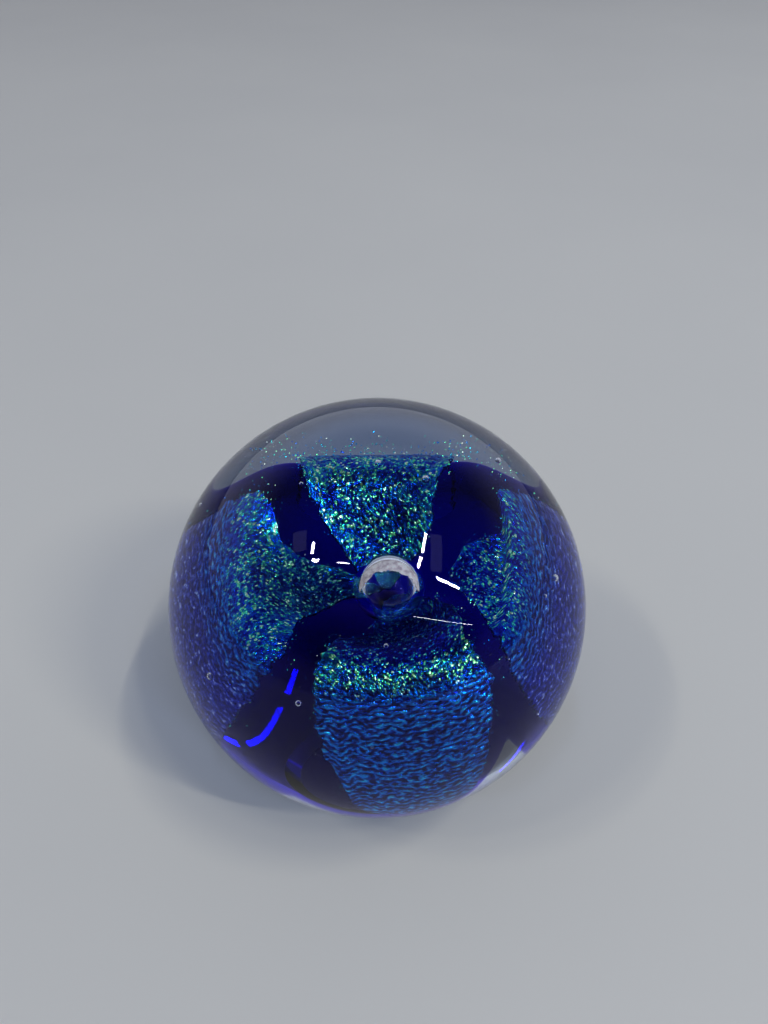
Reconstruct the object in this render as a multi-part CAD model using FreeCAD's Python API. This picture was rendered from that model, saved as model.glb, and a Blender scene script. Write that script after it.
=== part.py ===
"""Glass paperweight: a clear ball with a four-petalled dichroic flower inside.

Millimetres, +Z up. The origin is the centre of the flat ground base, so the
paperweight stands on z = 0. The front petal points along -Y.
"""
import FreeCAD, Part
import math
import os

from FreeCAD import Vector

# Ball
BALL_RADIUS = 37.5
BASE_DROP = 34.9            # from the ball's centre down to its ground base
BASE_BEVEL = 0.6            # narrow polished bevel round the ground base
BEVEL_SLOPE = 5.0           # how far the bevel runs outwards as it rises

# Inner gather: half of its outline, radius and height above the ball's centre
GATHER_OUTLINE = (
    (3.8, 0.2), (8.0, 2.4), (12.0, 5.2), (15.4, 6.4), (18.2, 5.6), (20.8, 3.0),
    (23.0, -1.4), (24.9, -7.0), (26.0, -13.0), (25.6, -18.6), (22.6, -24.0),
    (16.0, -27.6), (8.0, -28.8),
)
FUNNEL_FLOOR = -0.4         # height at the axis, under the trapped bubble
GATHER_FLOOR = -29.0        # lowest point of the gather

# First clear gather, inside the cobalt: the same kind of outline
CORE_OUTLINE = (
    (5.2, -3.8), (9.8, -1.6), (14.4, 1.6), (17.2, 0.4), (19.0, -3.6), (20.8, -9.0),
    (21.8, -14.0), (21.2, -18.6), (18.4, -22.0), (13.0, -24.0), (6.5, -24.8),
)
CORE_FUNNEL_FLOOR = -5.0
CORE_FLOOR = -25.0

LOBES = 4
LOBE_SWELL = -0.045         # share of the radius: the cobalt swells between the petals
LOBE_RISE = -0.3            # height by which a petal's ridge lies below the cobalt's
BACK_BULGE = 3.2            # further height of the cobalt swellings on the back half
BULGE_START = 11.0          # radius where those swellings start
BULGE_FULL = 17.0           # and radius where they are full
RING_POINTS = 24

# Layers on the gather
PETAL_THICKNESS = 1.1
COBALT_SKIRT = -17.0        # height of the cobalt cap's open rim at the sides
COBALT_TILT = 13.0          # degrees by which the rim hangs lower at the back
PETAL_HEM = -13.5           # height where the petals end

# Plan of a petal: distance from the axis and half width there
PETAL_PLAN = ((3.4, 1.4), (8.0, 5.0), (14.0, 9.0), (20.0, 11.6), (30.0, 11.8))
PETALS = {                  # direction in degrees, sideways shift
    "front": (-90.0, 3.2),
    "right": (0.0, 0.0),
    "back": (90.0, 0.4),
    "left": (180.0, 0.8),
}

# Trapped air bubble over the funnel
BUBBLE_CENTRE = (1.5, -2.4, 5.5)
BUBBLE_RADII = (4.5, 4.5, 4.1)


def lobe_share(radius):
    """How strongly the four lobes show at a radius: nothing at the axis."""
    return min(1.0, radius / GATHER_OUTLINE[3][0])


def back_bulge(radius, turn):
    """Height by which the cobalt between two petals swells up on the back half."""
    share = max(0.0, min(1.0, (radius - BULGE_START) / (BULGE_FULL - BULGE_START)))
    gap = max(0.0, -math.cos(LOBES * turn))
    return BACK_BULGE * share * gap * max(0.0, math.sin(turn)) ** 2


def ring(radius, height, inset=(0.0, 0.0)):
    """Closed lobed ring at a point of an outline, moved in from it by inset."""
    points = []
    for k in range(RING_POINTS):
        turn = 2.0 * math.pi * k / RING_POINTS
        wave = lobe_share(radius) * math.cos(LOBES * turn)
        reach = radius * (1.0 + LOBE_SWELL * wave)
        rise = LOBE_RISE * wave + back_bulge(radius, turn)
        rise *= max(0.0, 1.0 + height / BALL_RADIUS)
        scale = (reach - inset[0]) / reach
        points.append(Vector(reach * scale * math.cos(turn),
                             reach * scale * math.sin(turn),
                             BASE_DROP + height + rise - inset[1]))
    curve = Part.BSplineCurve()
    curve.interpolate(Points=points, PeriodicFlag=True)
    return Part.Wire([curve.toShape()])


def outline_normal(index):
    """Outward normal of the gather's outline at one of its points."""
    before = GATHER_OUTLINE[max(0, index - 1)]
    after = GATHER_OUTLINE[min(len(GATHER_OUTLINE) - 1, index + 1)]
    along = (after[0] - before[0], after[1] - before[1])
    length = math.hypot(*along)
    return (-along[1] / length, along[0] / length)


def closed_body(rings, funnel_floor, floor):
    """Closed solid through rings, with a point at the axis above and below."""
    top = Part.Vertex(0.0, 0.0, BASE_DROP + funnel_floor)
    bottom = Part.Vertex(0.0, 0.0, BASE_DROP + floor)
    return Part.makeLoft([top] + rings + [bottom], True, False)


def gather(depth):
    """Closed solid of the gather, its skin lying depth inside the outline."""
    rings = []
    for index, (radius, height) in enumerate(GATHER_OUTLINE):
        normal = outline_normal(index)
        rings.append(ring(radius, height, (depth * normal[0], depth * normal[1])))
    return closed_body(rings, FUNNEL_FLOOR - depth, GATHER_FLOOR + depth)


def core():
    """Closed solid of the first clear gather, which the cobalt was laid on."""
    rings = [ring(radius, height) for radius, height in CORE_OUTLINE]
    return closed_body(rings, CORE_FUNNEL_FLOOR, CORE_FLOOR)


def slab(low, high):
    """Wide flat block between two heights above the ball's centre."""
    side = 4.0 * BALL_RADIUS
    corner = Vector(-side / 2.0, -side / 2.0, BASE_DROP + low)
    return Part.makeBox(side, side, high - low, corner)


def petal_block(direction, shift):
    """Upright block with a petal's plan, from its hem upwards."""
    left = [Vector(out, half + shift, 0.0) for out, half in PETAL_PLAN]
    right = [Vector(out, shift - half, 0.0) for out, half in PETAL_PLAN]
    plan = Part.Face(Part.makePolygon(left + right[::-1] + left[:1]))
    plan.translate(Vector(0.0, 0.0, BASE_DROP + PETAL_HEM))
    block = plan.extrude(Vector(0.0, 0.0, 2.0 * BALL_RADIUS))
    block.rotate(Vector(0.0, 0.0, 0.0), Vector(0.0, 0.0, 1.0), direction)
    return block


def bubble():
    """Trapped air: a slightly flattened ball over the funnel."""
    shape = Part.makeSphere(1.0)
    matrix = FreeCAD.Matrix()
    matrix.scale(*BUBBLE_RADII)
    shape = shape.transformGeometry(matrix)
    x, y, z = BUBBLE_CENTRE
    shape.translate(Vector(x, y, BASE_DROP + z))
    return shape


def ball():
    """Full ball with its flat ground base and the polished bevel round it."""
    whole = Part.makeSphere(BALL_RADIUS, Vector(0.0, 0.0, BASE_DROP))
    whole = whole.common(slab(-BASE_DROP, BALL_RADIUS + 1.0))
    base_radius = math.sqrt(BALL_RADIUS ** 2 - BASE_DROP ** 2)
    height = 2.0 * BALL_RADIUS
    low = base_radius - BASE_BEVEL
    return whole.common(Part.makeCone(low, low + BEVEL_SLOPE * height, height))


def dichroic_petal(direction, shift, skin):
    """One strip of dichroic glass, draped from the funnel over the shoulder."""
    return skin.common(petal_block(direction, shift))


def only_solid(shape):
    """The one solid of a result, refusing a result in several pieces."""
    assert len(shape.Solids) == 1, "%d solids" % len(shape.Solids)
    return shape.Solids[0]


def build():
    """Every piece, by the name of its node."""
    whole = gather(0.0)
    petal_skin = whole.cut(gather(PETAL_THICKNESS))
    pieces = {}
    for name, (direction, shift) in PETALS.items():
        petal = dichroic_petal(direction, shift, petal_skin)
        pieces["dichroic_petal_" + name] = only_solid(petal)
    petals = list(pieces.values())
    above_skirt = slab(COBALT_SKIRT, BALL_RADIUS)
    above_skirt.rotate(Vector(0.0, 0.0, BASE_DROP + COBALT_SKIRT), Vector(1.0, 0.0, 0.0), -COBALT_TILT)
    cap = whole.cut(core()).common(above_skirt)
    pieces["cobalt_cap"] = only_solid(cap.cut(petals))
    pieces["clear_heart"] = only_solid(whole.cut(petals + [pieces["cobalt_cap"]]))
    pieces["clear_casing"] = only_solid(ball().cut([whole, bubble()]))
    return pieces


def main():
    os.makedirs("parts", exist_ok=True)
    for name, shape in build().items():
        print(name, "valid" if shape.isValid() else "INVALID", round(shape.Volume, 1), "mm3")
        shape.exportStep("parts/%s.step" % name)


main()
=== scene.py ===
"""Looks of the glass paperweight: a clear ball over a cobalt and dichroic flower.

Metres, +Z up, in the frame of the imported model. The ball is revolved, and everything inside
it is draped over the outline of the inner gather. Every piece rides the one rigid body.
"""
import math
import random

import bpy
import numpy as np
from mathutils import Euler, Matrix, Vector, noise


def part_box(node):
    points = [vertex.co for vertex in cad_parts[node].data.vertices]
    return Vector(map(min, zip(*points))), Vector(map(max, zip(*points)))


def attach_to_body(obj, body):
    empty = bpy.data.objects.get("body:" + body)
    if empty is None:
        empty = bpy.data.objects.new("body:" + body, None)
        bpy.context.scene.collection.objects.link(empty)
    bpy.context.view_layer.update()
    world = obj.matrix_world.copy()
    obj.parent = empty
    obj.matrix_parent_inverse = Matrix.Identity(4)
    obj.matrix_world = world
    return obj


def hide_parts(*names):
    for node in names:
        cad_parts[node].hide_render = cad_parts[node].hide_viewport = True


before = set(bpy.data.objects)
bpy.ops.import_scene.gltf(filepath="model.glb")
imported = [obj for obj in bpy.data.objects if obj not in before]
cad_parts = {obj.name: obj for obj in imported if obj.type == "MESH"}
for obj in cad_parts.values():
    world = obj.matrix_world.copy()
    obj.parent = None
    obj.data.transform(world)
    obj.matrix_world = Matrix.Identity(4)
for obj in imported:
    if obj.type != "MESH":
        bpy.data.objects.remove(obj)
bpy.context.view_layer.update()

BODY = "root"
MM = 0.001

# ---------------------------------------------------------------- the ball, from the frame
BASE_DROP_MM = 34.9             # ball's centre above its ground base, for a 37.5 mm ball
BALL_RADIUS_MM = 37.5
BALL_LOW, BALL_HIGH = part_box("clear_casing")
BALL_RADIUS = (BALL_HIGH[2] - BALL_LOW[2]) * BALL_RADIUS_MM / (BALL_RADIUS_MM + BASE_DROP_MM)
CENTRE = Vector((0.0, 0.0, BALL_HIGH[2] - BALL_RADIUS))
BALL_SEGMENTS = 256
BASE_BEVEL_MM = 0.6             # width of the bevel round the base
BEVEL_SLOPE = 5.0               # and how far it runs out for each step up

# ---------------------------------------------------------------- the inner gather, in mm
# Radius and height above the ball's centre, from the funnel's floor out and down the side.
GATHER_OUTLINE = np.array([
    (0.0, -0.4), (3.8, 0.2), (8.0, 2.4), (12.0, 5.2), (15.4, 6.4), (18.2, 5.6), (20.8, 3.0),
    (23.0, -1.4), (24.9, -7.0), (26.0, -13.0), (25.6, -18.6), (22.6, -24.0),
    (16.0, -27.6), (8.0, -28.8), (0.0, -29.0),
])
LOBES = 4                       # waves round the gather, one for each petal
LOBE_SWELL = -0.045             # change of radius under a petal, as a share; the gaps get the opposite
LOBE_RISE = -0.3                # change of height under a petal; the gaps get the opposite
LOBE_FULL_RADIUS = 15.4         # radius from which the waves are full
BACK_BULGE = 3.2                # further height of the cobalt swellings on the back half
BULGE_START = 11.0              # radius where those swellings start
BULGE_FULL = 17.0               # and radius where they are full

# Layers, as depths under the gather's outline
PETAL_UNDERSIDE = 0.6
COBALT_TOP = 0.85
COBALT_UNDERSIDE = 4.2
HEART_TOP = 4.6
RIM_ROUND = 0.35                # how far the cobalt's rim swells out between its two faces, in places

# Where the cobalt cap's open rim lies, by direction in degrees: a place along the outline
COBALT_RIM = ((-145.0, 9.7), (-128.0, 9.4), (-118.0, 8.9), (-110.0, 9.2), (-98.0, 9.9),
              (-75.0, 9.9), (-60.0, 9.0), (-52.0, 8.2), (-45.6, 7.6), (-41.0, 8.3), (-36.0, 9.0),
              (-30.0, 9.5), (0.0, 9.8), (45.0, 10.6), (90.0, 10.9), (135.0, 10.7), (180.0, 9.9))

# Petals: place along the outline, direction in degrees and half width in degrees there
PETALS = {
    "front": ((0.5, -50.0, 45.0), (1.6, -50.0, 46.0), (2.7, -73.0, 45.0), (3.75, -80.5, 35.5),
              (5.0, -82.0, 34.8), (6.1, -80.3, 33.0), (7.1, -81.0, 28.5), (8.2, -79.3, 22.0),
              (8.85, -79.3, 18.5), (9.4, -79.5, 12.0)),
    "right": ((2.3, 6.0, 7.0), (3.0, 2.5, 20.5), (3.85, -5.2, 24.3), (4.5, -6.5, 27.5),
              (4.9, 1.5, 36.5), (5.5, 0.5, 36.5), (6.3, -1.0, 37.8), (7.0, -0.5, 36.7),
              (7.8, -1.0, 33.5), (9.0, -1.0, 27.0), (9.5, -1.0, 20.0)),
    "back": ((0.7, 88.0, 30.0), (1.4, 86.0, 33.5), (2.1, 86.0, 37.5), (2.7, 89.3, 36.1),
             (3.4, 92.5, 33.4), (4.0, 92.0, 31.4), (5.0, 90.0, 29.5), (6.0, 90.0, 24.0),
             (7.0, 90.0, 21.0), (9.0, 90.0, 19.0), (9.5, 90.0, 14.0)),
    "left": ((0.6, 130.0, 20.0), (1.5, 166.0, 28.5), (2.15, 181.5, 27.0), (2.7, 185.5, 28.0),
             (3.2, 188.0, 30.0), (3.8, 185.0, 39.5), (4.7, 185.0, 43.5), (5.6, 185.3, 41.0),
             (6.4, 186.3, 39.0), (7.3, 185.0, 36.8), (9.0, 184.0, 30.0), (9.5, 183.0, 22.0)),
}
# How violet the outer slope of each petal is, where the film was stretched most
SIDE_VIOLET = {"front": 0.1, "right": 1.0, "back": 0.9, "left": 1.0}
# How much lighter or darker each petal's flakes are; a lighter petal is also greener
TONE = {"front": -0.05, "right": -0.02, "back": 0.05, "left": 0.04}
LOOSE_PAINTED_GLINT = 0.45               # painted glint: glow of the loose flakes that stands for light glancing off them
UNDER_PAINTED_GLOW = 0.30               # painted glow on a film's cobalt side, standing for light that comes through the film
# colour of that painted glow
UNDER_PAINTED_GLOW_COLOUR = (0.08, 0.02, 0.85)
EDGE_FLAKES = 130               # loose flakes of film along each petal's sides
EDGE_FLAKE_START = 0.4          # they begin this many places after the petal
EDGE_FLAKE_END = 8.6            # and end at this place
EDGE_FLAKE_REACH = 0.16         # how far past a side they float, as a share of the half width
EDGE_FLAKE_OVER_MM = 0.12       # and how high over the gather
BACK_FLAKES = 420               # loose flakes of film behind the back petal's crest
BACK_FLAKE_PLACES = (4.9, 6.2)
BACK_FLAKE_SPREAD = (-50.0, 47.0)
BACK_FLAKE_OVER_MM = 0.15       # least height over the gather
BACK_FLAKE_RISE_MM = 2.3        # and how much higher they float
FLAKE_SIZES_MM = (0.05, 0.14)   # least and greatest half length of one loose flake
FLAKE_NARROW = 0.8              # its width, as a share of its length
FLAKE_THICK = 0.2               # and its thickness
FLAKE_POINTS = 6                # corners of one loose flake
BOWL = 1.7                      # places by which a petal's sides are ahead of its middle in colour
BOWL_END = 5.0                  # place where that lead is over
BOWL_LENGTH = 2.5               # places that it takes to fade
BOWL_LIMIT = 4.7                # place that the sides' colours don't get ahead of
SLOPE_START = 5.2               # the outer slope's folds start here, and are full one place later
HEM_ROUND = 0.25                # places by which a petal's corners end before its middle
PETAL_ROWS = 290
PETAL_COLUMNS = 165
PETAL_EDGE_RAG = 0.06           # how ragged a petal's sides are, as a share of its width
EDGE_FADE = 12.0                # how steeply the crinkles fade out towards a petal's edges
RIPPLE_MM = 0.85                # distance between two ripples of the film
CRINKLE_MM = 0.22               # height of the crinkles on the steep outer slope
CREPE_MM = 0.16                 # height of the finer grain on the shoulder and in the funnel

# ---------------------------------------------------------------- trapped air, in mm
BUBBLE_CENTRE = (1.5, -2.4, 5.5)
BUBBLE_RADII = (4.5, 4.5, 4.1)
BUBBLE_SEGMENTS = 96
SEED_SEGMENTS = 20
CRESCENT_REACH = 0.84              # outer edge of the painted reflection, a pale crescent sheet on the bubble's wall, in bubble radii
CRESCENT_SPREAD = 96.0             # the painted reflection reaches this far to both sides, in degrees
CRESCENT_SHIFT = 0.36              # width of the painted reflection at its middle, as a share of its reach
CRESCENT_LIFTS = (1.018, 1.004)    # its outer and inner face, in bubble radii

# Tiny seeds over the film: place, direction, height over it and radius
SEEDS = ((7.0, -151.7, 1.6, 0.55), (6.1, -117.5, 1.5, 0.45), (6.4, 5.0, 1.6, 0.50),
         (6.15, -4.6, 1.2, 0.28), (3.7, 64.7, 1.4, 0.50), (4.3, 89.3, 1.3, 0.42),
         (5.6, 47.0, 1.2, 0.35), (6.8, 145.7, 1.2, 0.28), (3.7, -85.6, 1.3, 0.40),
         (7.1, -92.2, 0.8, 0.25), (3.75, 128.9, 1.2, 0.28))

# ---------------------------------------------------------------- camera and light, in metres
CAMERA_ELEVATION = 50.0         # in degrees, as are the tilt and the turn
CAMERA_LENS_MM = 27.04
CAMERA_DISTANCE = 3.84          # in ball radii, from the ball's centre
CAMERA_TILT = 6.63              # the ball's centre lies this far below the picture's middle
CAMERA_TURN = 0.74              # and this far to the left of it

EXPOSURE = 0.68
GAMMA = 0.72
BOUNCES = 24                    # light paths long enough for glass within glass
TABLE_HALF = 3.0
LAMP_DISTANCE = 2.5
LAMP_COLOUR = (1.0, 0.98, 0.97)
# Lamp strips round the room, then two dim panels beside them: azimuth and elevation of
# both ends, width and radiance
LAMPS = (
    ((-169.5, 58.7), (-160.3, 56.0), 0.070, 60.0),
    ((-156.0, 54.3), (-151.2, 56.8), 0.070, 60.0),
    ((-136.8, 62.5), (-122.8, 65.6), 0.035, 25.0),
    ((-7.5, 66.4), (-32.0, 63.8), 0.050, 100.0),
    ((-37.0, 62.9), (-46.5, 60.0), 0.060, 100.0),
    ((-39.4, 50.8), (-31.6, 39.1), 0.050, 100.0),
    ((-67.1, 40.0), (-37.3, 22.0), 0.018, 12.0),
    ((175.9, 53.1), (-168.1, 51.1), 0.300, 0.45),
    ((-5.6, 61.6), (-36.4, 53.0), 0.250, 0.45),
)


# ================================================================ shape helpers
def outline_at(place):
    """Radius and height of the gather's outline at a place along it, smoothly."""
    last = len(GATHER_OUTLINE) - 1
    place = np.clip(place, 0.0, last - 1e-9)
    index = place.astype(int)
    share = (place - index)[..., None]

    def point(offset):
        wanted = index + offset
        mirrored = np.abs(wanted)
        mirrored = np.where(mirrored > last, 2 * last - mirrored, mirrored)
        found = GATHER_OUTLINE[mirrored].copy()
        found[..., 0] *= np.where((wanted < 0) | (wanted > last), -1.0, 1.0)
        return found

    before, start, end, after = point(-1), point(0), point(1), point(2)
    return 0.5 * (2 * start + (end - before) * share
                  + (2 * before - 5 * start + 4 * end - after) * share ** 2
                  + (3 * start - before - 3 * end + after) * share ** 3)


def outline_normal(place):
    """Outward normal of the outline, as radius and height."""
    step = 0.02
    along = outline_at(place + step) - outline_at(np.maximum(place - step, 0.0))
    length = np.linalg.norm(along, axis=-1, keepdims=True)
    along = along / np.maximum(length, 1e-9)
    return np.stack([-along[..., 1], along[..., 0]], axis=-1)


def gather_points(place, turn, depth):
    """Points in metres at a depth under the gather's lobed skin."""
    reach = outline_at(place) - outline_normal(place) * depth[..., None]
    radius, height = reach[..., 0], reach[..., 1]
    wave = np.minimum(1.0, radius / LOBE_FULL_RADIUS) * np.cos(LOBES * turn)
    share = np.clip((radius - BULGE_START) / (BULGE_FULL - BULGE_START), 0.0, 1.0)
    gap = np.maximum(0.0, -np.cos(LOBES * turn))
    bulge = BACK_BULGE * share * gap * np.maximum(0.0, np.sin(turn)) ** 2
    radius = radius * (1.0 + LOBE_SWELL * wave)
    height = height + (LOBE_RISE * wave + bulge) * np.maximum(0.0, 1.0 + height / BALL_RADIUS_MM)
    points = np.stack([radius * np.cos(turn), radius * np.sin(turn), height], axis=-1)
    return points * MM + np.array(CENTRE)


def blend_table(table, key, column):
    """Value of one column of a short table, in proportion between its rows."""
    rows = np.array(table)
    return np.interp(key, rows[:, 0], rows[:, column])


def grid_faces(rows, columns, start=0, wrap=False, flip=False):
    """Quads of a grid of points stored row by row."""
    faces = []
    across = columns if wrap else columns - 1
    for row in range(rows - 1):
        for column in range(across):
            right = (column + 1) % columns
            quad = (start + row * columns + column, start + row * columns + right,
                    start + (row + 1) * columns + right, start + (row + 1) * columns + column)
            faces.append(quad[::-1] if flip else quad)
    return faces


def sheet_border(rows, columns, size):
    """Quads that close the four sides between a sheet's upper and lower grid."""
    loop = [(0, c) for c in range(columns - 1)]
    loop += [(r, columns - 1) for r in range(rows - 1)]
    loop += [(rows - 1, c) for c in range(columns - 1, 0, -1)]
    loop += [(r, 0) for r in range(rows - 1, 0, -1)]
    index = [r * columns + c for r, c in loop]
    faces = []
    for here, after in zip(index, index[1:] + index[:1]):
        faces.append((after, here, here + size, after + size))
    return [face[::-1] for face in faces]


def make_piece(name, points, faces, smooth=True):
    """Mesh object from points and faces, linked to the scene."""
    mesh = bpy.data.meshes.new(name)
    mesh.from_pydata(points, [], faces)
    mesh.validate()
    mesh.polygons.foreach_set("use_smooth", [smooth] * len(mesh.polygons))
    mesh.update()
    piece = bpy.data.objects.new(name, mesh)
    bpy.context.scene.collection.objects.link(piece)
    return piece


def set_points(piece, name, values):
    """Store one number per point as a named attribute."""
    attribute = piece.data.attributes.new(name, "FLOAT", "POINT")
    attribute.data.foreach_set("value", np.asarray(values, dtype=np.float32))


def closed_faces(rings, segments):
    """Faces of a closed body stored as a pole, rings of points and another pole."""
    faces = grid_faces(rings, segments, 1, wrap=True, flip=True)
    last_ring = 1 + (rings - 1) * segments
    last_pole = 1 + rings * segments
    for k in range(segments):
        after = (k + 1) % segments
        faces.append((0, 1 + k, 1 + after))
        faces.append((last_pole, last_ring + after, last_ring + k))
    return faces


def revolve(profile, segments):
    """Points and faces of a closed profile turned about the axis, poles at both ends."""
    inner = profile[1:-1]
    turns = np.linspace(0.0, 2.0 * math.pi, segments, endpoint=False)
    points = [(0.0, 0.0, profile[0][1])]
    for radius, height in inner:
        points += [(radius * math.cos(t), radius * math.sin(t), height) for t in turns]
    points.append((0.0, 0.0, profile[-1][1]))
    return points, closed_faces(len(inner), segments)


def direction(azimuth, elevation):
    """Unit vector towards an azimuth from +X and an elevation, in degrees."""
    a, e = math.radians(azimuth), math.radians(elevation)
    return Vector((math.cos(e) * math.cos(a), math.cos(e) * math.sin(a), math.sin(e)))


def attach(piece, nodes):
    """Ride the body and stand for the CAD nodes, which are hidden."""
    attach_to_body(piece, BODY)
    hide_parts(*nodes)
    return piece


# ================================================================ shader helpers
def new_material(name):
    """Empty node material with its output node."""
    material = bpy.data.materials.new(name)
    material.use_nodes = True
    material.node_tree.nodes.clear()
    output = material.node_tree.nodes.new("ShaderNodeOutputMaterial")
    return material, material.node_tree, output


def add_node(tree, kind, **settings):
    """Node with its properties set; names with a capital letter are inputs."""
    node = tree.nodes.new(kind)
    for key, value in settings.items():
        if key[0].isupper():
            node.inputs[key.replace("_", " ")].default_value = value
        else:
            setattr(node, key, value)
    return node


def ramp(tree, factor, stops):
    """Colour ramp through (position, colour) stops."""
    node = tree.nodes.new("ShaderNodeValToRGB")
    elements = node.color_ramp.elements
    while len(elements) < len(stops):
        elements.new(0.5)
    for element, (position, colour) in zip(elements, stops):
        element.position = position
        element.color = (*colour, 1.0)
    tree.links.new(factor, node.inputs["Fac"])
    return node.outputs["Color"]


def level(tree, factor, stops):
    """Plain number that changes along a factor, through (position, number) stops."""
    return ramp(tree, factor, [(position, (number,) * 3) for position, number in stops])


def mix_colour(tree, factor, first, second):
    """Mix of two colours, sockets or plain ones, by a factor socket."""
    node = tree.nodes.new("ShaderNodeMix")
    node.data_type = "RGBA"
    tree.links.new(factor, node.inputs["Factor"])
    for socket, value in ((node.inputs[6], first), (node.inputs[7], second)):
        if isinstance(value, tuple):
            socket.default_value = (*value, 1.0)
        else:
            tree.links.new(value, socket)
    return node.outputs[2]


def maths(tree, operation, first, second):
    """One Math node on two sockets or numbers."""
    node = tree.nodes.new("ShaderNodeMath")
    node.operation = operation
    for socket, value in zip(node.inputs, (first, second)):
        if isinstance(value, float):
            socket.default_value = value
        else:
            tree.links.new(value, socket)
    return node.outputs[0]


def stored(tree, name):
    """One of the numbers stored on a petal's points."""
    return add_node(tree, "ShaderNodeAttribute", attribute_name=name).outputs["Fac"]


# ================================================================ materials
def crystal_material():
    """Clear crystal: polished, with faint handling haze, and a slight blue tint in depth."""
    material, tree, output = new_material("crystal_glass")
    coords = add_node(tree, "ShaderNodeTexCoord")
    haze = add_node(tree, "ShaderNodeTexNoise", Scale=90.0, Detail=5.0)
    tree.links.new(coords.outputs["Object"], haze.inputs["Vector"])
    rough = add_node(tree, "ShaderNodeMapRange", From_Min=0.45, From_Max=0.8, To_Min=0.0, To_Max=0.012)
    tree.links.new(haze.outputs["Fac"], rough.inputs["Value"])
    glass = add_node(tree, "ShaderNodeBsdfPrincipled", Base_Color=(0.985, 0.99, 1.0, 1.0), IOR=1.5,
                     Transmission_Weight=1.0)
    tree.links.new(rough.outputs["Result"], glass.inputs["Roughness"])
    clear = add_node(tree, "ShaderNodeBsdfTransparent", Color=(0.62, 0.66, 0.74, 1.0))
    path = add_node(tree, "ShaderNodeLightPath")
    mix = add_node(tree, "ShaderNodeMixShader")
    tree.links.new(path.outputs["Is Shadow Ray"], mix.inputs[0])
    tree.links.new(glass.outputs[0], mix.inputs[1])
    tree.links.new(clear.outputs[0], mix.inputs[2])
    tree.links.new(mix.outputs[0], output.inputs["Surface"])
    volume = add_node(tree, "ShaderNodeVolumeAbsorption", Color=(0.30, 0.52, 0.85, 1.0), Density=7.0)
    tree.links.new(volume.outputs[0], output.inputs["Volume"])
    return material


def fused_clear_material():
    """Clear glass fused into clear glass: no bend and no gloss where they meet."""
    material, tree, output = new_material("fused_clear_glass")
    glass = add_node(tree, "ShaderNodeBsdfPrincipled", Base_Color=(0.98, 0.99, 1.0, 1.0), IOR=1.0,
                     Transmission_Weight=1.0, Roughness=0.0)
    tree.links.new(glass.outputs[0], output.inputs["Surface"])
    return material


def cobalt_material():
    """Cobalt blue glass: nearly all of its colour comes from its thickness."""
    material, tree, output = new_material("cobalt_glass")
    coords = add_node(tree, "ShaderNodeTexCoord")
    streaks = add_node(tree, "ShaderNodeTexNoise", Scale=60.0, Detail=4.0, Distortion=1.2)
    tree.links.new(coords.outputs["Object"], streaks.inputs["Vector"])
    tint = ramp(tree, streaks.outputs["Fac"], ((0.3, (0.55, 0.60, 0.95)), (0.7, (0.80, 0.84, 1.0))))
    glass = add_node(tree, "ShaderNodeBsdfPrincipled", IOR=1.0, Transmission_Weight=1.0, Roughness=0.0)
    tree.links.new(tint, glass.inputs["Base Color"])
    volume = add_node(tree, "ShaderNodeVolumeAbsorption", Color=(0.30, 0.04, 0.90, 1.0), Density=930.0)
    tree.links.new(glass.outputs[0], output.inputs["Surface"])
    tree.links.new(volume.outputs[0], output.inputs["Volume"])
    return material


def film_flakes(tree, across_mm, along_mm):
    """Cells of the crinkled film: three chance numbers of each cell, and the distance to its middle."""
    vector = add_node(tree, "ShaderNodeCombineXYZ")
    tree.links.new(maths(tree, "DIVIDE", stored(tree, "arc"), across_mm), vector.inputs[0])
    tree.links.new(maths(tree, "DIVIDE", stored(tree, "along"), along_mm), vector.inputs[1])
    tree.links.new(stored(tree, "seed"), vector.inputs[2])
    wobble = add_node(tree, "ShaderNodeTexNoise", Scale=0.8, Detail=2.0)
    tree.links.new(vector.outputs[0], wobble.inputs["Vector"])
    moved = add_node(tree, "ShaderNodeVectorMath", operation="MULTIPLY_ADD")
    tree.links.new(wobble.outputs["Color"], moved.inputs[0])
    moved.inputs[1].default_value = (1.6, 1.6, 0.0)
    tree.links.new(vector.outputs[0], moved.inputs[2])
    cells = add_node(tree, "ShaderNodeTexVoronoi", Scale=1.0, Randomness=1.0)
    tree.links.new(moved.outputs[0], cells.inputs["Vector"])
    pick = add_node(tree, "ShaderNodeSeparateColor")
    tree.links.new(cells.outputs["Color"], pick.inputs["Color"])
    return pick.outputs, cells.outputs["Distance"]


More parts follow.
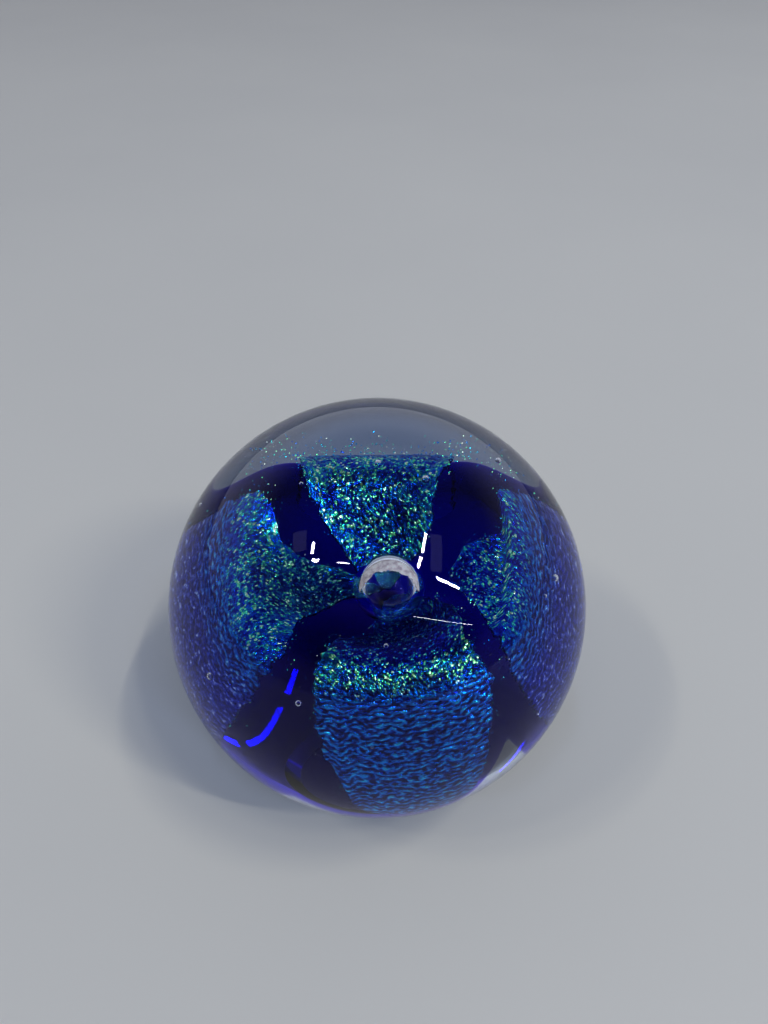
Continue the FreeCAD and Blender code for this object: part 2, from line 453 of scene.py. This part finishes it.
def flake_heat_with_painted_light(tree, chance, grain_edge):
    """How bright the small flakes are, from navy at 0 to nearly white at 1: painted glints on chance
    flakes, a painted highlight on the crests with painted shade in the hollows, and painted light on the
    shoulder.
    """
    place = stored(tree, "place")
    coords = add_node(tree, "ShaderNodeTexCoord")
    clumps = add_node(tree, "ShaderNodeTexNoise", Scale=420.0, Detail=2.0)
    tree.links.new(coords.outputs["Object"], clumps.inputs["Vector"])
    # Painted light: the shoulder is painted brighter than the funnel and the outer slope.
    lift = level(tree, place, ((0.00, 0.34), (0.20, 0.40), (0.36, 0.46), (0.46, 0.58), (0.54, 0.50),
                               (0.62, 0.22)))
    spot = maths(tree, "SUBTRACT", 1.25, maths(tree, "MULTIPLY", grain_edge, 1.5))
    # Painted glints on chance flakes, and a painted highlight on the crests with painted shade in the
    # hollows between them.
    heat = maths(tree, "ADD", maths(tree, "MULTIPLY", maths(tree, "MULTIPLY", chance, spot), 1.12),
                 maths(tree, "MULTIPLY", stored(tree, "crest"), 0.24))
    heat = maths(tree, "ADD", heat, maths(tree, "SUBTRACT", lift, 0.39))
    heat = maths(tree, "ADD", heat,
                 maths(tree, "MULTIPLY", maths(tree, "SUBTRACT", clumps.outputs["Fac"], 0.5), 0.7))
    dip = maths(tree, "MULTIPLY", maths(tree, "SUBTRACT", 1.0, stored(tree, "outside")),
                level(tree, place, ((0.28, 0.0), (0.34, 0.16), (0.40, 0.16), (0.46, 0.0))))
    return maths(tree, "SUBTRACT", maths(tree, "ADD", heat, stored(tree, "tone")), dip)


def shoulder_colour(tree, heat):
    """Funnel and shoulder: bright flakes with painted glints and painted light on navy, greener round the
    front one's shoulder.
    """
    place = stored(tree, "place")
    blue_ground = ramp(tree, heat, (
        (0.08, (0.001, 0.003, 0.30)), (0.24, (0.002, 0.025, 0.52)), (0.38, (0.005, 0.14, 0.72)),
        (0.52, (0.012, 0.42, 0.62)), (0.66, (0.06, 0.84, 0.56)), (0.82, (0.32, 1.00, 0.60)),
        (1.00, (0.90, 1.00, 0.82))))
    green_ground = ramp(tree, heat, (
        (0.08, (0.001, 0.012, 0.06)), (0.26, (0.004, 0.06, 0.12)), (0.42, (0.01, 0.20, 0.14)),
        (0.56, (0.08, 0.50, 0.12)), (0.72, (0.36, 0.95, 0.20)), (1.00, (0.95, 1.00, 0.70))))
    green_belt = maths(tree, "MULTIPLY", maths(tree, "SUBTRACT", 1.0, stored(tree, "outside")),
                       level(tree, place, ((0.40, 0.0), (0.49, 0.8), (0.55, 0.9), (0.60, 0.0))))
    funnel = level(tree, place, ((0.36, 1.0), (0.47, 0.0)))
    green_tone = maths(tree, "MULTIPLY", maths(tree, "MAXIMUM", stored(tree, "tone"), 0.0), 13.0)
    green = maths(tree, "ADD", green_belt, maths(tree, "MULTIPLY", green_tone, funnel))
    return mix_colour(tree, green, blue_ground, green_ground)


def slope_colour(tree, chance):
    """Outer slope: long wavy blue folds with painted shade in the grooves and painted light on their
    tops, violet with painted glints where it was stretched most.
    """
    folds = film_flakes(tree, 1.25, 0.30)[0]
    # Painted shade and light: darker in the grooves of the folds, lighter on their tops, from the crinkle
    # height.
    wave = maths(tree, "ADD", maths(tree, "MULTIPLY", stored(tree, "crest"), 0.74),
                 maths(tree, "MULTIPLY", folds[0], 0.24))
    blue = ramp(tree, wave, (
        (0.28, (0.000, 0.003, 0.16)), (0.43, (0.001, 0.04, 0.36)), (0.56, (0.001, 0.22, 0.76)),
        (0.70, (0.002, 0.40, 0.86)), (0.86, (0.03, 0.72, 0.95))))
    # Painted glints: chance flakes turn into pale specks over the violet.
    violet = ramp(tree, maths(tree, "ADD", wave, maths(tree, "MULTIPLY", chance, 0.35)), (
        (0.25, (0.003, 0.003, 0.20)), (0.6, (0.012, 0.026, 0.44)), (0.88, (0.08, 0.14, 0.72)),
        (1.0, (0.50, 0.60, 0.95))))
    stretched = maths(tree, "MULTIPLY", stored(tree, "outside"),
                      level(tree, stored(tree, "place"), ((0.56, 0.0), (0.70, 1.0))))
    return mix_colour(tree, stretched, blue, violet)


def painted_film_glow(tree):
    """Strength of the painted glow on a film's cobalt side, and of the painted glints on loose flakes."""
    covered = maths(tree, "GREATER_THAN", stored(tree, "under"), 0.99)
    return maths(tree, "ADD", maths(tree, "MULTIPLY", covered, UNDER_PAINTED_GLOW),
                 maths(tree, "MULTIPLY", stored(tree, "loose"), LOOSE_PAINTED_GLINT))


def dichroic_material():
    """Crinkled metal-oxide film: green where it was least stretched, then blue and violet."""
    material, tree, output = new_material("dichroic_glass")
    grain, grain_edge = film_flakes(tree, 0.33, 0.38)
    # Chance flakes that take the painted glints.
    chance = maths(tree, "POWER", grain[0], 2.5)
    shoulder = shoulder_colour(tree, flake_heat_with_painted_light(tree, chance, grain_edge))
    over = level(tree, stored(tree, "place"), ((0.52, 0.0), (0.60, 1.0)))
    film = mix_colour(tree, over, shoulder, slope_colour(tree, chance))
    facet = add_node(tree, "ShaderNodeBump", Strength=0.6, Distance=0.00022)
    tree.links.new(maths(tree, "SUBTRACT", grain[2], maths(tree, "MULTIPLY", grain_edge, 0.6)),
                   facet.inputs["Height"])
    shader = add_node(tree, "ShaderNodeBsdfPrincipled", Metallic=1.0, Roughness=0.27)
    # Painted glow: emission on the films' cobalt sides, and painted glints on the loose flakes.
    tree.links.new(painted_film_glow(tree), shader.inputs["Emission Strength"])
    tree.links.new(mix_colour(tree, stored(tree, "loose"), UNDER_PAINTED_GLOW_COLOUR, film),
                   shader.inputs["Emission Color"])
    tree.links.new(film, shader.inputs["Base Color"])
    tree.links.new(facet.outputs[0], shader.inputs["Normal"])
    tree.links.new(shader.outputs[0], output.inputs["Surface"])
    return material


def table_material():
    """Pale matt table top with a barely visible mottle."""
    material, tree, output = new_material("pale_table")
    coords = add_node(tree, "ShaderNodeTexCoord")
    mottle = add_node(tree, "ShaderNodeTexNoise", Scale=5.0, Detail=3.0)
    tree.links.new(coords.outputs["Object"], mottle.inputs["Vector"])
    colour = ramp(tree, mottle.outputs["Fac"], ((0.3, (0.72, 0.755, 0.765)), (0.7, (0.75, 0.785, 0.79))))
    shader = add_node(tree, "ShaderNodeBsdfPrincipled", Roughness=0.6)
    tree.links.new(colour, shader.inputs["Base Color"])
    tree.links.new(shader.outputs[0], output.inputs["Surface"])
    return material


# ================================================================ pieces
def ball_profile(rings=150):
    """Outline of the ball from its top pole down to its base's centre."""
    radius, drop = BALL_RADIUS, CENTRE.z
    base = math.sqrt(radius ** 2 - drop ** 2) - BASE_BEVEL_MM * MM
    # where the bevel meets the ball: base + BEVEL_SLOPE * rise = sqrt(radius^2 - (drop - rise)^2)
    a = BEVEL_SLOPE ** 2 + 1.0
    b = 2.0 * (base * BEVEL_SLOPE - drop)
    c = base ** 2 + drop ** 2 - radius ** 2
    rise = (-b + math.sqrt(b * b - 4.0 * a * c)) / (2.0 * a)
    lowest = math.acos((rise - drop) / radius)
    profile = [(radius * math.sin(t), CENTRE.z + radius * math.cos(t))
               for t in np.linspace(0.0, lowest, rings)]
    return profile + [(base, 0.0), (base * 0.5, 0.0), (0.0, 0.0)]


def void_ball(centre, radii, segments):
    """Points and inward faces of a bubble, so that its outside is the glass."""
    steps = np.linspace(0.0, math.pi, segments // 2 + 1)
    profile = [(math.sin(t), math.cos(t)) for t in steps]
    points, faces = revolve(profile, segments)
    placed = [tuple(c + r * p for c, r, p in zip(centre, radii, point)) for point in points]
    return placed, [face[::-1] for face in faces]


def build_casing(material):
    """The clear ball with its ground base and the air trapped in it."""
    points, faces = revolve(ball_profile(), BALL_SEGMENTS)
    bubble_centre = [c + v * MM for c, v in zip(CENTRE, BUBBLE_CENTRE)]
    more, inward = void_ball(bubble_centre, [r * MM for r in BUBBLE_RADII], BUBBLE_SEGMENTS)
    faces += [tuple(i + len(points) for i in face) for face in inward]
    points += more
    for place, azimuth, over, radius in SEEDS:
        turn = np.radians(np.array([azimuth]))
        middle = gather_points(np.array([place]), turn, np.array([-over]))[0]
        more, inward = void_ball(middle, [radius * MM] * 3, SEED_SEGMENTS)
        faces += [tuple(i + len(points) for i in face) for face in inward]
        points += more
    piece = make_piece("clear_crystal_casing", points, faces)
    piece.data.set_sharp_from_angle(angle=math.radians(6.0))
    piece.data.materials.append(material)
    return attach(piece, ["clear_casing"])


def painted_reflection_material():
    """Painted reflection: a pale mottled sheet that glows a little, standing for the bright reflection in
    the bubble's wall.
    """
    material, tree, output = new_material("bubble_painted_reflection")
    coords = add_node(tree, "ShaderNodeTexCoord")
    mottle = add_node(tree, "ShaderNodeTexNoise", Scale=1400.0, Detail=4.0)
    tree.links.new(coords.outputs["Object"], mottle.inputs["Vector"])
    colour = ramp(tree, mottle.outputs["Fac"], ((0.35, (0.62, 0.54, 0.55)), (0.6, (0.95, 0.90, 0.86))))
    # Painted reflection: the sheet glows a little so that it stays pale.
    shader = add_node(tree, "ShaderNodeBsdfPrincipled", Roughness=0.8, Emission_Strength=0.20)
    tree.links.new(colour, shader.inputs["Base Color"])
    tree.links.new(colour, shader.inputs["Emission Color"])
    tree.links.new(shader.outputs[0], output.inputs["Surface"])
    return material


def build_painted_reflection(material, columns=90, rows=12):
    """Ragged crescent of painted reflection on the bubble's upper wall."""
    side = direction(0.0, 0.0)
    up = direction(90.0, 90.0 - CAMERA_ELEVATION)
    front = direction(-90.0, CAMERA_ELEVATION)
    centre = CENTRE + Vector(BUBBLE_CENTRE) * MM
    points = []
    for lift in CRESCENT_LIFTS:
        for t in np.linspace(0.0, 1.0, rows):
            for angle in np.radians(np.linspace(-CRESCENT_SPREAD, CRESCENT_SPREAD, columns)):
                ragged = 0.10 * noise.noise(Vector((angle * 2.2, 3.0, 1.0)))
                ragged += 0.05 * noise.noise(Vector((angle * 9.0, 5.0, 2.0)))
                inner = math.sqrt(1.0 - (CRESCENT_SHIFT * math.sin(angle)) ** 2)
                inner += ragged - CRESCENT_SHIFT * math.cos(angle)
                reach = CRESCENT_REACH * min(1.0, inner + (1.0 - inner) * t)
                spot = side * reach * math.sin(angle) + up * reach * math.cos(angle)
                spot = (spot + front * math.sqrt(1.0 - reach * reach)) * lift
                points.append(tuple(centre[k] + spot[k] * BUBBLE_RADII[k] * MM for k in range(3)))
    size = rows * columns
    faces = grid_faces(rows, columns, 0, flip=True) + grid_faces(rows, columns, size)
    faces += sheet_border(rows, columns, size)
    piece = make_piece("bubble_painted_reflection", points, faces)
    piece.data.materials.append(material)
    return attach(piece, ["clear_casing"])


def closed_gather(name, depth, material, segments=96, rings=90):
    """Closed lobed body at a depth inside the gather's outline."""
    last = len(GATHER_OUTLINE) - 1
    places = np.linspace(0.0, last, rings)
    turns = np.linspace(0.0, 2.0 * math.pi, segments, endpoint=False)
    place, turn = np.meshgrid(places[1:-1], turns, indexing="ij")
    ring_points = gather_points(place, turn, np.full(place.shape, depth)).reshape(-1, 3)
    ends = gather_points(np.array([0.0, last]), np.zeros(2), np.full(2, depth))
    points = [tuple(ends[0])] + [tuple(p) for p in ring_points] + [tuple(ends[1])]
    piece = make_piece(name, points, closed_faces(rings - 2, segments))
    piece.data.materials.append(material)
    return piece


def rim_place(turn):
    """How far down the outline the cobalt reaches in a direction."""
    degrees = np.degrees(np.arctan2(np.sin(turn), np.cos(turn)))
    directions = np.array([row[0] for row in COBALT_RIM])
    reach = np.array([row[1] for row in COBALT_RIM])
    return np.interp(degrees, directions, reach, period=360.0)


def build_cap(material, segments=192, rings=80):
    """Cobalt cap: a lobed umbrella with a thick rounded rim."""
    turns = np.linspace(0.0, 2.0 * math.pi, segments, endpoint=False)
    ends = rim_place(turns)
    down = np.linspace(0.0, 1.0, rings)[1:]
    rows = [(share * ends, COBALT_TOP) for share in down]
    rows.append((ends + RIM_ROUND, 0.5 * (COBALT_TOP + COBALT_UNDERSIDE)))
    rows += [(share * ends, COBALT_UNDERSIDE) for share in down[::-1]]
    poles = gather_points(np.zeros(2), np.zeros(2), np.array([COBALT_TOP, COBALT_UNDERSIDE]))
    points = [tuple(poles[0])]
    for place, depth in rows:
        points += [tuple(p) for p in gather_points(place, turns, np.full(segments, depth))]
    points.append(tuple(poles[1]))
    piece = make_piece("cobalt_blue_cap", points, closed_faces(len(rows), segments))
    piece.data.materials.append(material)
    return attach(piece, ["cobalt_cap"])


def crinkle(along, across, seed):
    """Height from 0 to 1 of the film's ripples: long across a petal, short along it."""
    sway = noise.noise(Vector((along * 0.30, across * 0.50, seed + 7.0)))
    broken = noise.noise(Vector((along * 1.3, across * 1.0, seed)))
    fine = noise.noise(Vector((along * 3.4, across * 1.4, seed + 3.0)))
    ripple = math.sin(2.0 * math.pi * along / RIPPLE_MM + 7.5 * sway + 3.4 * broken)
    return max(0.0, min(1.0, 0.5 + 0.22 * ripple + 0.50 * fine + 0.30 * broken))


def crepe(along, across, seed):
    """Height from 0 to 1 of the finer grain on the shoulder and in the funnel."""
    grain = noise.noise(Vector((along * 1.5, across * 2.4, seed + 11.0)))
    finer = noise.noise(Vector((along * 3.6, across * 4.6, seed + 17.0)))
    return max(0.0, min(1.0, 0.5 + 0.7 * grain + 0.5 * finer))


def flake_spots(name, table, chance):
    """Place, direction and height of a petal's loose flakes: along its sides, and behind the back."""
    spots = []
    for _ in range(EDGE_FLAKES):
        place = chance.uniform(table[0][0] + EDGE_FLAKE_START, min(EDGE_FLAKE_END, table[-1][0]))
        past = chance.choice((-1.0, 1.0)) * (1.0 + EDGE_FLAKE_REACH * chance.random() ** 2)
        half = float(blend_table(table, place, 2))
        spots.append((place, float(blend_table(table, place, 1)) + half * past, EDGE_FLAKE_OVER_MM))
    if name == "back":
        for _ in range(BACK_FLAKES):
            over = BACK_FLAKE_OVER_MM + BACK_FLAKE_RISE_MM * chance.random() ** 1.6
            place = chance.uniform(*BACK_FLAKE_PLACES)
            spots.append((place, 90.0 + chance.uniform(*BACK_FLAKE_SPREAD), over))
    return spots


def loose_flakes(spots, chance):
    """Points and faces of little film flakes that float in the clear glass."""
    points, faces = [], []
    for place, azimuth, over in spots:
        turn = np.radians(np.array([azimuth]))
        centre = Vector(gather_points(np.array([place]), turn, np.array([-over]))[0])
        facing = Vector((chance.uniform(-1.0, 1.0), chance.uniform(-1.0, 1.0), chance.uniform(0.4, 1.2)))
        facing.normalize()
        side = facing.orthogonal().normalized() * chance.uniform(*FLAKE_SIZES_MM) * MM
        other = facing.cross(side) * FLAKE_NARROW
        thick = facing * side.length * FLAKE_THICK
        start = len(points)
        for corner in (side, other, -side, -other, thick, -thick):
            points.append(tuple(centre + corner))
        for k in range(4):
            after = (k + 1) % 4
            faces.append((start + k, start + after, start + 4))
            faces.append((start + after, start + k, start + 5))
    return points, faces


def ragged_sides(across, seed):
    """How far each row's two sides stray from their line, as a grid."""
    stray = np.array([[noise.noise(Vector((row * 2.3, side, seed)))
                       + 0.7 * noise.noise(Vector((row * 11.0, side, seed))) for side in (5.0, 9.0)]
                      for row in np.linspace(0.0, 10.0, PETAL_ROWS)])
    return np.where(across < 0.0, stray[:, :1], stray[:, 1:])


def film_height(distance, arc, slope, seed):
    """Height from 0 to 1 of the film, as a grid: folds on the outer slope and finer grain above."""
    folds = np.array([[crinkle(d, a, seed) for d, a in zip(*pair)] for pair in zip(distance, arc)])
    grain = np.array([[crepe(d, a, seed) for d, a in zip(*pair)] for pair in zip(distance, arc)])
    return folds * slope + grain * (1.0 - slope)


def petal_sheet(name, table, seed):
    """Points of a strip's skin and underside, and the numbers that its material reads."""
    first, last = table[0][0], table[-1][0]
    down, across = np.meshgrid(np.linspace(0.0, 1.0, PETAL_ROWS), np.linspace(-1.0, 1.0, PETAL_COLUMNS),
                               indexing="ij")
    hem = last - HEM_ROUND * across ** 2
    place = first + (hem - first) * down
    middle = np.radians(blend_table(table, place, 1))
    half = np.radians(blend_table(table, place, 2))
    turn = middle + half * across * (1.0 + PETAL_EDGE_RAG * ragged_sides(across, seed))
    outline = outline_at(place)
    steps = np.linalg.norm(np.diff(outline, axis=0), axis=-1)
    distance = np.vstack([np.zeros(PETAL_COLUMNS), np.cumsum(steps, axis=0)])
    arc = outline[..., 0] * (turn - middle)
    slope = np.clip(place - SLOPE_START, 0.0, 1.0)
    height = film_height(distance, arc, slope, seed)
    swell = (CRINKLE_MM * slope + CREPE_MM * (1.0 - slope)) * (height - 0.5)
    edge = np.minimum(1.0 - np.abs(across), np.minimum(down, 1.0 - down))
    skin = gather_points(place, turn, -swell * np.minimum(1.0, edge * EDGE_FADE))
    under = gather_points(place, turn, np.full(place.shape, PETAL_UNDERSIDE))
    lead = BOWL * across ** 2 * np.clip((BOWL_END - place) / BOWL_LENGTH, 0.0, 1.0)
    shown = np.minimum(place + lead, np.maximum(place, BOWL_LIMIT))
    points = [tuple(p) for p in np.vstack([skin.reshape(-1, 3), under.reshape(-1, 3)])]
    return points, {"place": shown / 10.0, "arc": arc, "along": distance, "crest": height, "seed": seed,
                    "tone": TONE[name], "outside": SIDE_VIOLET[name]}


def build_petal(name, table, seed, material):
    """One dichroic strip: a crinkled skin with a smooth underside, and its loose flakes."""
    points, values = petal_sheet(name, table, seed)
    size = PETAL_ROWS * PETAL_COLUMNS
    faces = grid_faces(PETAL_ROWS, PETAL_COLUMNS, 0, flip=True)
    faces += grid_faces(PETAL_ROWS, PETAL_COLUMNS, size)
    faces += sheet_border(PETAL_ROWS, PETAL_COLUMNS, size)
    chance = random.Random(int(seed) + 5)
    flakes, flake_faces = loose_flakes(flake_spots(name, table, chance), chance)
    faces += [tuple(i + len(points) for i in face) for face in flake_faces]
    piece = make_piece("dichroic_" + name, points + flakes, faces)
    piece.data.set_sharp_from_angle(angle=math.radians(60.0))
    number = np.arange(len(flakes)) // FLAKE_POINTS
    # Loose flakes take a high crest, so the painted crest highlight makes them bright as well.
    on_flakes = {"place": 0.46, "arc": 1.7 * number, "along": 2.3 * number, "crest": 0.9, "seed": seed,
                 "tone": 0.0, "outside": 0.3}
    for label, value in values.items():
        sheet = np.broadcast_to(value, (PETAL_ROWS, PETAL_COLUMNS)).ravel()
        loose = np.broadcast_to(on_flakes[label], number.shape)
        set_points(piece, label, np.concatenate([sheet, sheet, loose]))
    set_points(piece, "under", np.concatenate([np.repeat((0.0, 1.0), size), np.zeros(len(number))]))
    set_points(piece, "loose", np.concatenate([np.zeros(2 * size), np.ones(len(number))]))
    piece.data.materials.append(material)
    return attach(piece, ["dichroic_petal_" + name])


# ================================================================ stage
def build_table(material):
    """Plain pale table top under the ball."""
    corners = [(x * TABLE_HALF, y * TABLE_HALF, 0.0) for x, y in ((-1, -1), (1, -1), (1, 1), (-1, 1))]
    piece = make_piece("table_top", corners, [(0, 1, 2, 3)], smooth=False)
    piece.data.materials.append(material)


def add_lamp(number, start, end, width, radiance):
    """One straight lamp strip or panel that faces the ball."""
    first = CENTRE + direction(*start) * LAMP_DISTANCE
    last = CENTRE + direction(*end) * LAMP_DISTANCE
    middle = (first + last) / 2.0
    along = (last - first).normalized()
    facing = (middle - CENTRE).normalized()
    light = bpy.data.lights.new("lamp_strip_%d" % number, "AREA")
    light.shape = "RECTANGLE"
    light.size = (last - first).length
    light.size_y = width
    light.energy = radiance * math.pi * light.size * light.size_y
    light.color = LAMP_COLOUR
    lamp = bpy.data.objects.new(light.name, light)
    across = facing.cross(along)
    lamp.matrix_world = Matrix.Translation(middle) @ Matrix((along, across, facing)).transposed().to_4x4()
    bpy.context.scene.collection.objects.link(lamp)


def build_room():
    """Soft dim room: a paler wall beyond the ball, and a dark room on the viewer's side."""
    world = bpy.data.worlds.new("soft_room")
    world.use_nodes = True
    tree = world.node_tree
    tree.nodes.clear()
    coords = add_node(tree, "ShaderNodeTexCoord")
    parts = add_node(tree, "ShaderNodeSeparateXYZ")
    tree.links.new(coords.outputs["Generated"], parts.inputs["Vector"])
    wall = ramp(tree, parts.outputs["Z"], ((0.0, (0.55, 0.55, 0.56)), (0.35, (0.45, 0.45, 0.46)),
                                           (0.6, (0.09, 0.09, 0.10)), (1.0, (0.045, 0.045, 0.055))))
    viewer = ramp(tree, parts.outputs["Z"], ((0.0, (0.15, 0.15, 0.17)), (0.3, (0.030, 0.032, 0.066)),
                                             (1.0, (0.022, 0.024, 0.058))))
    behind = add_node(tree, "ShaderNodeMapRange", From_Min=-0.35, From_Max=0.35)
    tree.links.new(parts.outputs["Y"], behind.inputs["Value"])
    sky = mix_colour(tree, behind.outputs["Result"], viewer, wall)
    background = add_node(tree, "ShaderNodeBackground", Strength=1.0)
    tree.links.new(sky, background.inputs["Color"])
    output = add_node(tree, "ShaderNodeOutputWorld")
    tree.links.new(background.outputs[0], output.inputs["Surface"])
    bpy.context.scene.world = world


def build_camera():
    """Close hand-held view from above the front petal."""
    data = bpy.data.cameras.new("camera")
    data.lens = CAMERA_LENS_MM
    data.sensor_width = 36.0
    data.clip_start = 0.005
    camera = bpy.data.objects.new("camera", data)
    back = direction(-90.0, CAMERA_ELEVATION)
    camera.location = CENTRE + back * CAMERA_DISTANCE * BALL_RADIUS
    tip = math.radians(90.0 - CAMERA_ELEVATION + CAMERA_TILT)
    camera.rotation_euler = Euler((tip, 0.0, math.radians(-CAMERA_TURN)))
    bpy.context.scene.collection.objects.link(camera)
    bpy.context.scene.camera = camera


def set_view():
    """Plain display colours and enough bounces for glass within glass."""
    scene = bpy.context.scene
    scene.view_settings.view_transform = "Standard"
    scene.view_settings.exposure = EXPOSURE
    scene.view_settings.gamma = GAMMA
    scene.cycles.max_bounces = BOUNCES
    scene.cycles.transmission_bounces = BOUNCES
    scene.cycles.transparent_max_bounces = BOUNCES
    scene.cycles.caustics_refractive = False
    scene.cycles.caustics_reflective = False


def main():
    """Build every piece, then the stage."""
    crystal = crystal_material()
    build_casing(crystal)
    build_painted_reflection(painted_reflection_material())
    attach(closed_gather("clear_inner_heart", HEART_TOP, fused_clear_material()),
           ["clear_heart"])
    build_cap(cobalt_material())
    film = dichroic_material()
    for seed, (name, table) in enumerate(PETALS.items()):
        build_petal(name, table, float(20 * seed), film)
    build_table(table_material())
    for number, lamp in enumerate(LAMPS):
        add_lamp(number, *lamp)
    build_room()
    build_camera()
    set_view()


main()
